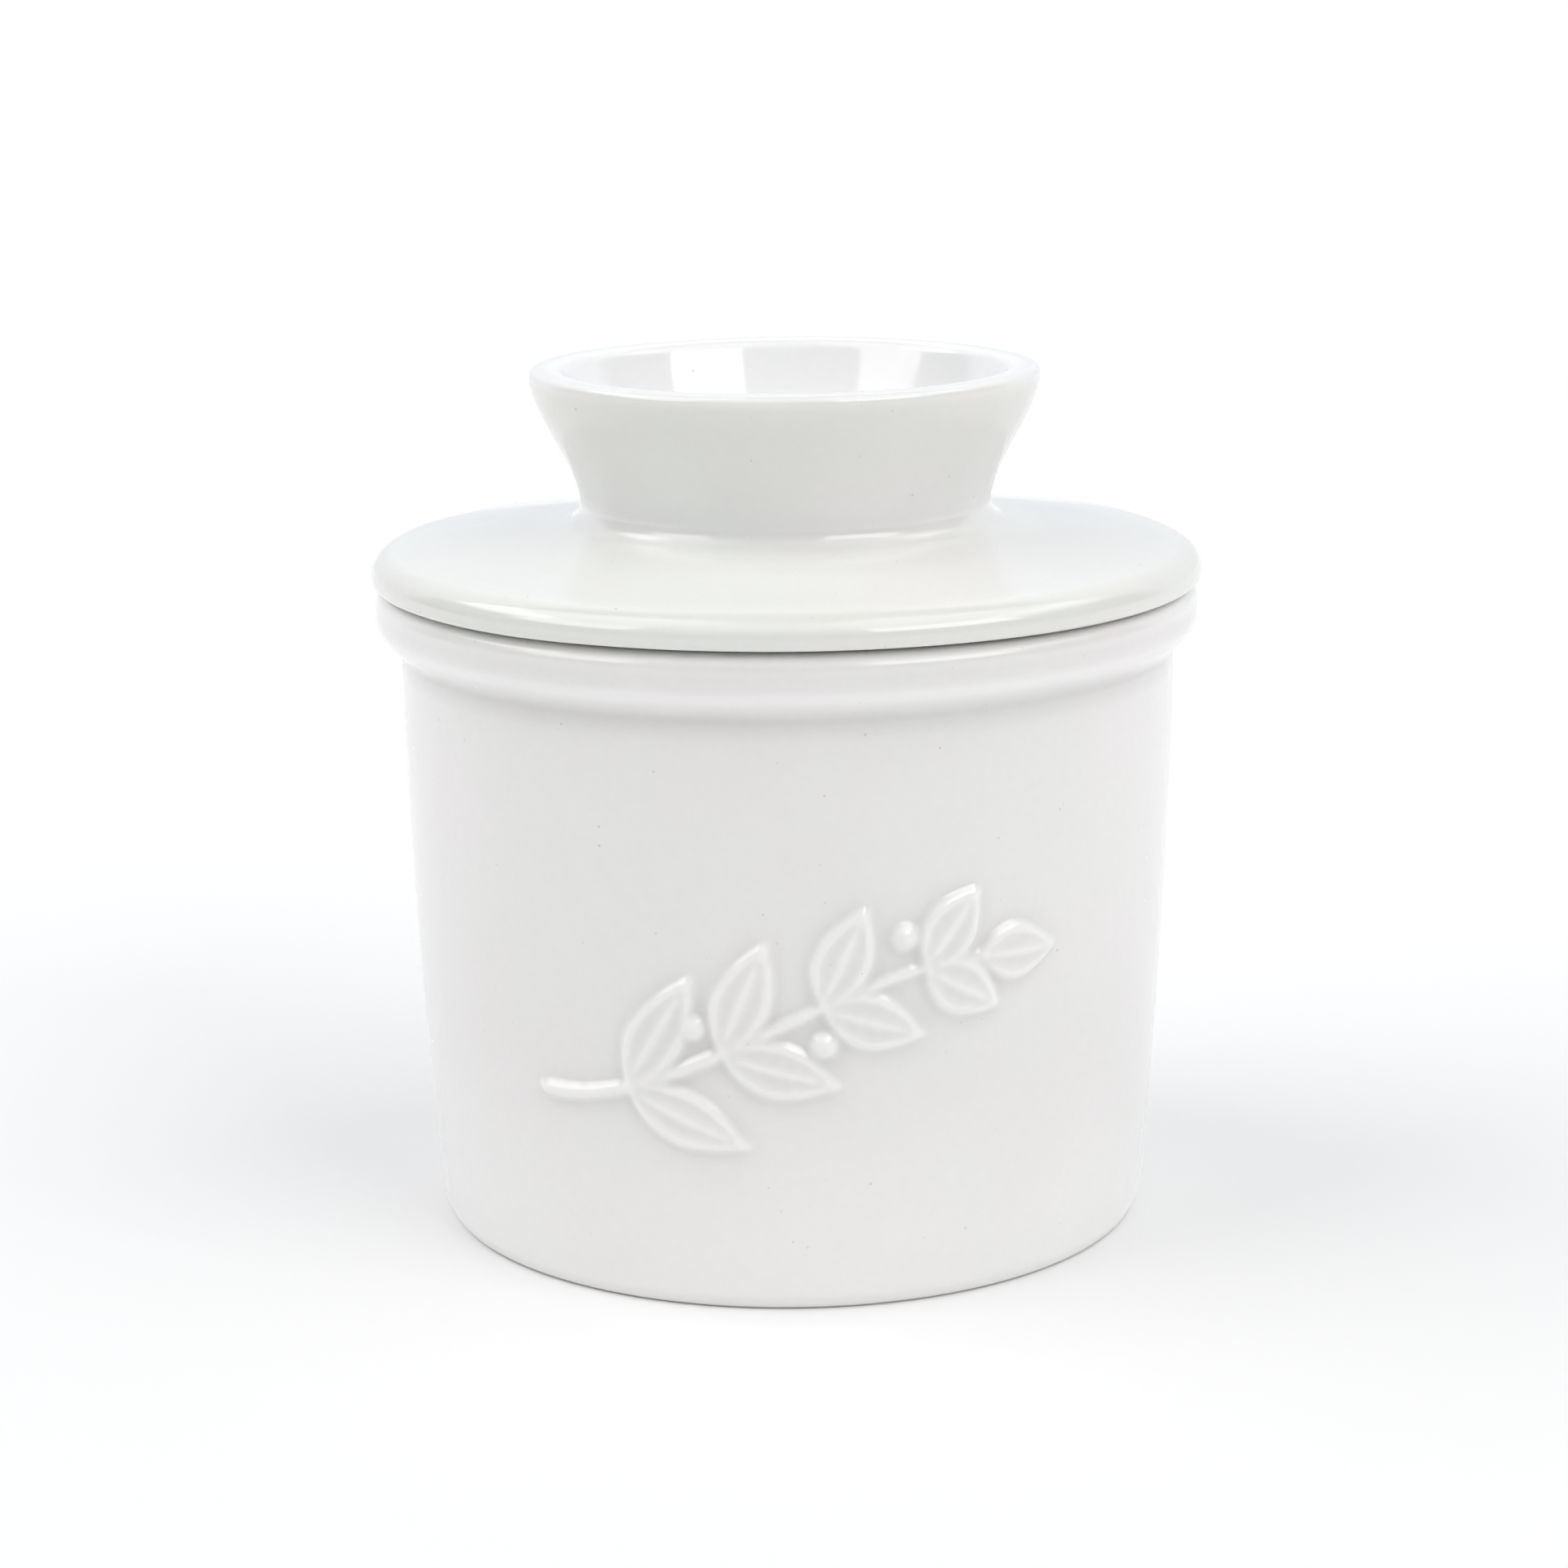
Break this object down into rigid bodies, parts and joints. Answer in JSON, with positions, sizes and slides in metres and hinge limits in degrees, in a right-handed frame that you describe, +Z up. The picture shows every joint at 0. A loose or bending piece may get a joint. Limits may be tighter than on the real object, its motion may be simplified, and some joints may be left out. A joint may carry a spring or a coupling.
{
  "type": "butter crock",
  "caption": "White glazed butter crock: a collared pot for water with a raised sprig, and a bell lid whose butter cup hangs upside down inside it under a flared hollow knob.",
  "frame": {"origin": "on the axis of the pot, in the plane it stands on", "axes": "+Z up along the pot's axis; -Y towards the front, where the raised sprig is"},
  "size_m": [0.1016, 0.1016, 0.105],
  "materials": {
    "crock": "gloss, warm white",
    "bell_lid": "gloss, cool white"
  },
  "bodies": {
    "pot": {"crock": "crock"},
    "lid": {"bell_lid": "bell_lid"}
  },
  "joints": [
    {"name": "lid_lift", "type": "slide", "parent": "pot", "child": "lid", "axis": [0, 0, 1], "range_m": [0, 0.1]}
  ]
}
